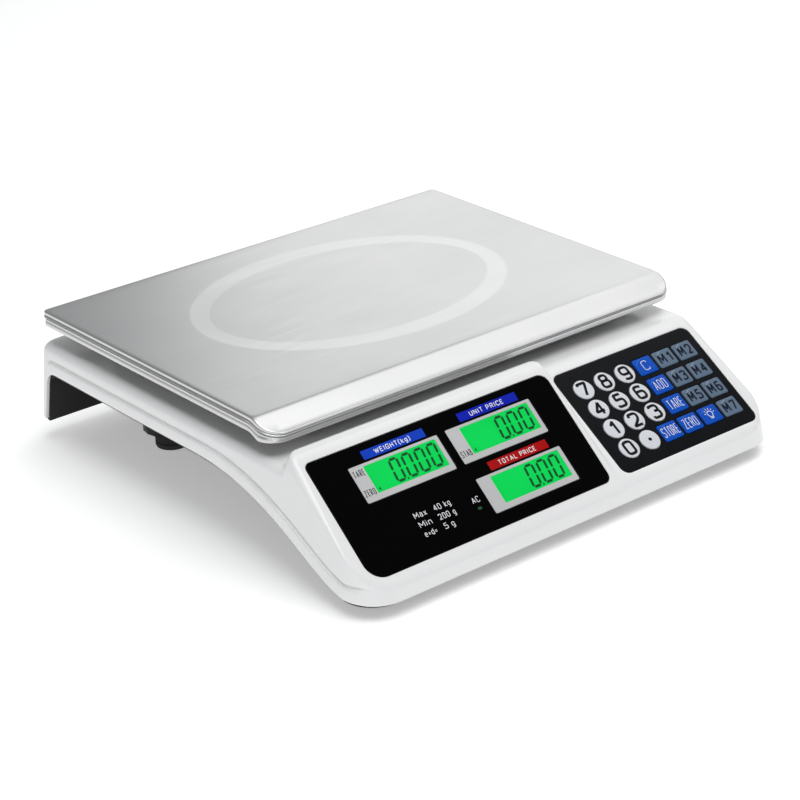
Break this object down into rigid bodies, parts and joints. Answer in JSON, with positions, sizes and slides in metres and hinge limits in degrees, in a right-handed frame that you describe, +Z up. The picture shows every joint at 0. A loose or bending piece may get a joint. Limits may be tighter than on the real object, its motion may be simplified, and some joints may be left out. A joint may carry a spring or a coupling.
{
  "type": "price computing counter scale",
  "caption": "Counter-top price-computing scale with a lift-off steel platter on a load cell, a sloping lit display and a keypad in front.",
  "frame": {"origin": "on the table, under the middle of the scale's bounding box", "axes": "+X to the operator's right, +Y from the operator's keypad side to the customer's side, +Z up"},
  "size_m": [0.348, 0.359, 0.097],
  "materials": {
    "white_abs": "white ABS moulding, smooth satin gloss with soft edges",
    "black_abs": "black ABS moulding with a fine spark texture",
    "steel_sheet": "satin stainless sheet with a faint polished oval band",
    "tray_plastic": "grey moulded tray under the platter",
    "black_panel": "glossy black acrylic or film, back printed",
    "lcd_glass": "backlit green liquid crystal glass in a silver grey frame",
    "key_white": "embossed off-white key with a printed black numeral",
    "key_blue": "embossed blue key with a printed white legend",
    "key_slate": "embossed slate blue key with a printed dark legend",
    "circuit_board": "green glass-fibre board with black and silver parts",
    "cell_aluminium": "milled aluminium bar",
    "cast_aluminium": "die cast aluminium, matte",
    "zinc_steel": "bright zinc plated steel screws",
    "foot_rubber": "black rubber pad on a steel stud",
    "battery_case": "dark ABS battery case",
    "transformer_core": "varnished lamination core with a taped winding",
    "level_glass": "clear cap over yellow green fluid",
    "led_lens": "small green indicator lens"
  },
  "bodies": {
    "chassis": {"ac_inlet": "black_abs", "ac_led": "led_lens", "battery": "battery_case", "battery_door": "black_abs", "bottom_housing": "black_abs", "bubble_level": "level_glass", "cell_screws": "zinc_steel", "display_board": "circuit_board", "display_window": "black_panel", "keypad_board": "circuit_board", "keypad_overlay": "black_panel", "lcd_total_price": "lcd_glass", "lcd_unit_price": "lcd_glass", "lcd_weight": "lcd_glass", "load_cell": "cell_aluminium", "load_cell_base": "cast_aluminium", "main_board": "circuit_board", "overload_stop_1": "zinc_steel", "overload_stop_2": "zinc_steel", "overload_stop_3": "zinc_steel", "overload_stop_4": "zinc_steel", "rear_display": "lcd_glass", "rear_window": "black_panel", "switch_bezel": "black_abs", "top_housing": "white_abs", "transformer": "transformer_core"},
    "weighing": {"support_spider": "cast_aluminium", "platter_tray": "tray_plastic", "spider_screws": "zinc_steel"},
    "platter": {"platter": "steel_sheet"},
    "power_rocker": {"power_rocker": "black_abs"},
    "key_0": {"key_0": "key_white"},
    "key_1": {"key_1": "key_white"},
    "key_2": {"key_2": "key_white"},
    "key_3": {"key_3": "key_white"},
    "key_4": {"key_4": "key_white"},
    "key_5": {"key_5": "key_white"},
    "key_6": {"key_6": "key_white"},
    "key_7": {"key_7": "key_white"},
    "key_8": {"key_8": "key_white"},
    "key_9": {"key_9": "key_white"},
    "key_point": {"key_point": "key_white"},
    "key_store": {"key_store": "key_blue"},
    "key_clear": {"key_clear": "key_blue"},
    "key_add": {"key_add": "key_blue"},
    "key_tare": {"key_tare": "key_blue"},
    "key_zero": {"key_zero": "key_blue"},
    "key_light": {"key_light": "key_blue"},
    "key_m1": {"key_m1": "key_slate"},
    "key_m2": {"key_m2": "key_slate"},
    "key_m3": {"key_m3": "key_slate"},
    "key_m4": {"key_m4": "key_slate"},
    "key_m5": {"key_m5": "key_slate"},
    "key_m6": {"key_m6": "key_slate"},
    "key_m7": {"key_m7": "key_slate"},
    "foot_front_left": {"foot_front_left": "foot_rubber"},
    "foot_front_right": {"foot_front_right": "foot_rubber"},
    "foot_rear_left": {"foot_rear_left": "foot_rubber"},
    "foot_rear_right": {"foot_rear_right": "foot_rubber"}
  },
  "joints": [
    {"name": "weighing_travel", "type": "slide", "parent": "chassis", "child": "weighing", "axis": [0, 0, -1], "range_m": [0, 0.001], "stiffness_N_per_m": 200000, "springref_m": -0.0003},
    {"name": "platter_lift", "type": "slide", "parent": "weighing", "child": "platter", "axis": [0, 0, 1], "range_m": [0, 0.06]},
    {"name": "rocker_tilt", "type": "hinge", "parent": "chassis", "child": "power_rocker", "pos_m": [0.1335, 0.022, 0.0365], "axis": [0, 0, 1], "range_deg": [0, 16]},
    {"name": "key_0_press", "type": "slide", "parent": "chassis", "child": "key_0", "axis": [0, 0.5461, -0.8377], "range_m": [0, 0.0004], "stiffness_N_per_m": 400, "springref_m": -0.0005},
    {"name": "key_1_press", "type": "slide", "parent": "chassis", "child": "key_1", "axis": [0, 0.5461, -0.8377], "range_m": [0, 0.0004], "stiffness_N_per_m": 400, "springref_m": -0.0005},
    {"name": "key_2_press", "type": "slide", "parent": "chassis", "child": "key_2", "axis": [0, 0.5461, -0.8377], "range_m": [0, 0.0004], "stiffness_N_per_m": 400, "springref_m": -0.0005},
    {"name": "key_3_press", "type": "slide", "parent": "chassis", "child": "key_3", "axis": [0, 0.5461, -0.8377], "range_m": [0, 0.0004], "stiffness_N_per_m": 400, "springref_m": -0.0005},
    {"name": "key_4_press", "type": "slide", "parent": "chassis", "child": "key_4", "axis": [0, 0.5461, -0.8377], "range_m": [0, 0.0004], "stiffness_N_per_m": 400, "springref_m": -0.0005},
    {"name": "key_5_press", "type": "slide", "parent": "chassis", "child": "key_5", "axis": [0, 0.5461, -0.8377], "range_m": [0, 0.0004], "stiffness_N_per_m": 400, "springref_m": -0.0005},
    {"name": "key_6_press", "type": "slide", "parent": "chassis", "child": "key_6", "axis": [0, 0.5461, -0.8377], "range_m": [0, 0.0004], "stiffness_N_per_m": 400, "springref_m": -0.0005},
    {"name": "key_7_press", "type": "slide", "parent": "chassis", "child": "key_7", "axis": [0, 0.5461, -0.8377], "range_m": [0, 0.0004], "stiffness_N_per_m": 400, "springref_m": -0.0005},
    {"name": "key_8_press", "type": "slide", "parent": "chassis", "child": "key_8", "axis": [0, 0.5461, -0.8377], "range_m": [0, 0.0004], "stiffness_N_per_m": 400, "springref_m": -0.0005},
    {"name": "key_9_press", "type": "slide", "parent": "chassis", "child": "key_9", "axis": [0, 0.5461, -0.8377], "range_m": [0, 0.0004], "stiffness_N_per_m": 400, "springref_m": -0.0005},
    {"name": "key_point_press", "type": "slide", "parent": "chassis", "child": "key_point", "axis": [0, 0.5461, -0.8377], "range_m": [0, 0.0004], "stiffness_N_per_m": 400, "springref_m": -0.0005},
    {"name": "key_store_press", "type": "slide", "parent": "chassis", "child": "key_store", "axis": [0, 0.5461, -0.8377], "range_m": [0, 0.0004], "stiffness_N_per_m": 400, "springref_m": -0.0005},
    {"name": "key_clear_press", "type": "slide", "parent": "chassis", "child": "key_clear", "axis": [0, 0.5461, -0.8377], "range_m": [0, 0.0004], "stiffness_N_per_m": 400, "springref_m": -0.0005},
    {"name": "key_add_press", "type": "slide", "parent": "chassis", "child": "key_add", "axis": [0, 0.5461, -0.8377], "range_m": [0, 0.0004], "stiffness_N_per_m": 400, "springref_m": -0.0005},
    {"name": "key_tare_press", "type": "slide", "parent": "chassis", "child": "key_tare", "axis": [0, 0.5461, -0.8377], "range_m": [0, 0.0004], "stiffness_N_per_m": 400, "springref_m": -0.0005},
    {"name": "key_zero_press", "type": "slide", "parent": "chassis", "child": "key_zero", "axis": [0, 0.5461, -0.8377], "range_m": [0, 0.0004], "stiffness_N_per_m": 400, "springref_m": -0.0005},
    {"name": "key_light_press", "type": "slide", "parent": "chassis", "child": "key_light", "axis": [0, 0.5461, -0.8377], "range_m": [0, 0.0004], "stiffness_N_per_m": 400, "springref_m": -0.0005},
    {"name": "key_m1_press", "type": "slide", "parent": "chassis", "child": "key_m1", "axis": [0, 0.5461, -0.8377], "range_m": [0, 0.0004], "stiffness_N_per_m": 400, "springref_m": -0.0005},
    {"name": "key_m2_press", "type": "slide", "parent": "chassis", "child": "key_m2", "axis": [0, 0.5461, -0.8377], "range_m": [0, 0.0004], "stiffness_N_per_m": 400, "springref_m": -0.0005},
    {"name": "key_m3_press", "type": "slide", "parent": "chassis", "child": "key_m3", "axis": [0, 0.5461, -0.8377], "range_m": [0, 0.0004], "stiffness_N_per_m": 400, "springref_m": -0.0005},
    {"name": "key_m4_press", "type": "slide", "parent": "chassis", "child": "key_m4", "axis": [0, 0.5461, -0.8377], "range_m": [0, 0.0004], "stiffness_N_per_m": 400, "springref_m": -0.0005},
    {"name": "key_m5_press", "type": "slide", "parent": "chassis", "child": "key_m5", "axis": [0, 0.5461, -0.8377], "range_m": [0, 0.0004], "stiffness_N_per_m": 400, "springref_m": -0.0005},
    {"name": "key_m6_press", "type": "slide", "parent": "chassis", "child": "key_m6", "axis": [0, 0.5461, -0.8377], "range_m": [0, 0.0004], "stiffness_N_per_m": 400, "springref_m": -0.0005},
    {"name": "key_m7_press", "type": "slide", "parent": "chassis", "child": "key_m7", "axis": [0, 0.5461, -0.8377], "range_m": [0, 0.0004], "stiffness_N_per_m": 400, "springref_m": -0.0005},
    {"name": "foot_front_left_turn", "type": "hinge", "parent": "chassis", "child": "foot_front_left", "pos_m": [-0.14, -0.14, 0], "axis": [0, 0, 1], "continuous": true},
    {"name": "foot_front_right_turn", "type": "hinge", "parent": "chassis", "child": "foot_front_right", "pos_m": [0.14, -0.14, 0], "axis": [0, 0, 1], "continuous": true},
    {"name": "foot_rear_left_turn", "type": "hinge", "parent": "chassis", "child": "foot_rear_left", "pos_m": [-0.113, 0.106, 0], "axis": [0, 0, 1], "continuous": true},
    {"name": "foot_rear_right_turn", "type": "hinge", "parent": "chassis", "child": "foot_rear_right", "pos_m": [0.113, 0.106, 0], "axis": [0, 0, 1], "continuous": true}
  ]
}
